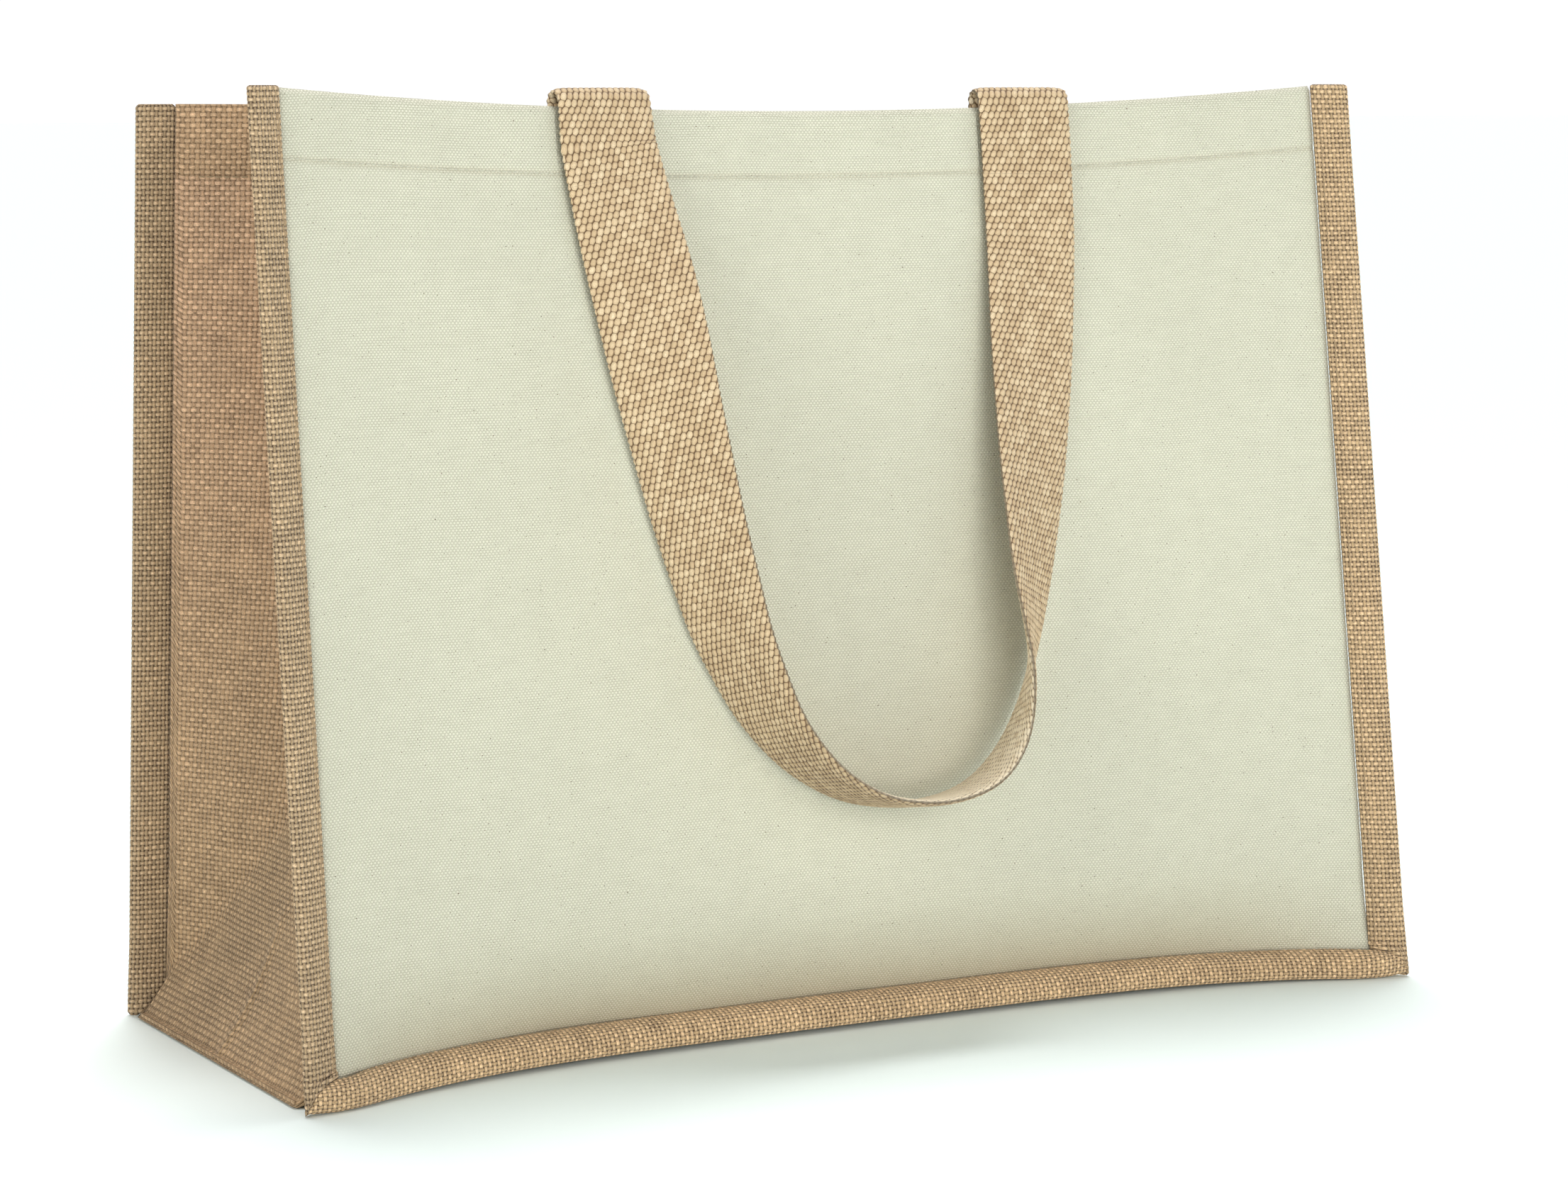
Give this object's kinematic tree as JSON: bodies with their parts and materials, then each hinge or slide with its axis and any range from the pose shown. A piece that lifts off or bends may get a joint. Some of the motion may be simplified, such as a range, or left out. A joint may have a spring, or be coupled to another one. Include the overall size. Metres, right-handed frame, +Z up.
{
  "type": "tote bag",
  "caption": "Open-topped shopping tote with canvas faces, a creased jute gusset, bound seams and hanging webbing handles.",
  "frame": {"origin": "on the floor, under the middle of the whole bag's box with both handles hanging", "axes": "+X across the bag, -Y out of the front panel, +Z up towards the mouth"},
  "size_m": [0.461, 0.202, 0.345],
  "materials": {
    "canvas": "undyed cotton canvas, plain weave",
    "jute": "open plain-weave jute",
    "binding": "folded jute tape",
    "webbing": "coarse woven jute webbing",
    "thread": "sewing thread"
  },
  "bodies": {
    "bag": {"front_panel": "canvas", "rear_panel": "canvas", "gusset": "jute", "front_binding": "binding", "rear_binding": "binding", "front_handle_left_end": "webbing", "front_handle_right_end": "webbing", "rear_handle_left_end": "webbing", "rear_handle_right_end": "webbing", "front_hem_stitching": "thread", "rear_hem_stitching": "thread", "left_gusset_hem_stitching": "thread", "right_gusset_hem_stitching": "thread", "front_handle_stitching": "thread", "rear_handle_stitching": "thread", "front_binding_stitching": "thread", "rear_binding_stitching": "thread"},
    "front_strap": {"front_handle": "webbing"},
    "rear_strap": {"rear_handle": "webbing"}
  },
  "joints": [
    {"name": "front_handle_swing", "type": "hinge", "parent": "bag", "child": "front_strap", "pos_m": [0, -0.02551, 0.34434], "axis": [-1, 0, 0], "range_deg": [0, 165]},
    {"name": "rear_handle_swing", "type": "hinge", "parent": "bag", "child": "rear_strap", "pos_m": [0, 0.0444, 0.33495], "axis": [1, 0, 0], "range_deg": [0, 165]}
  ]
}
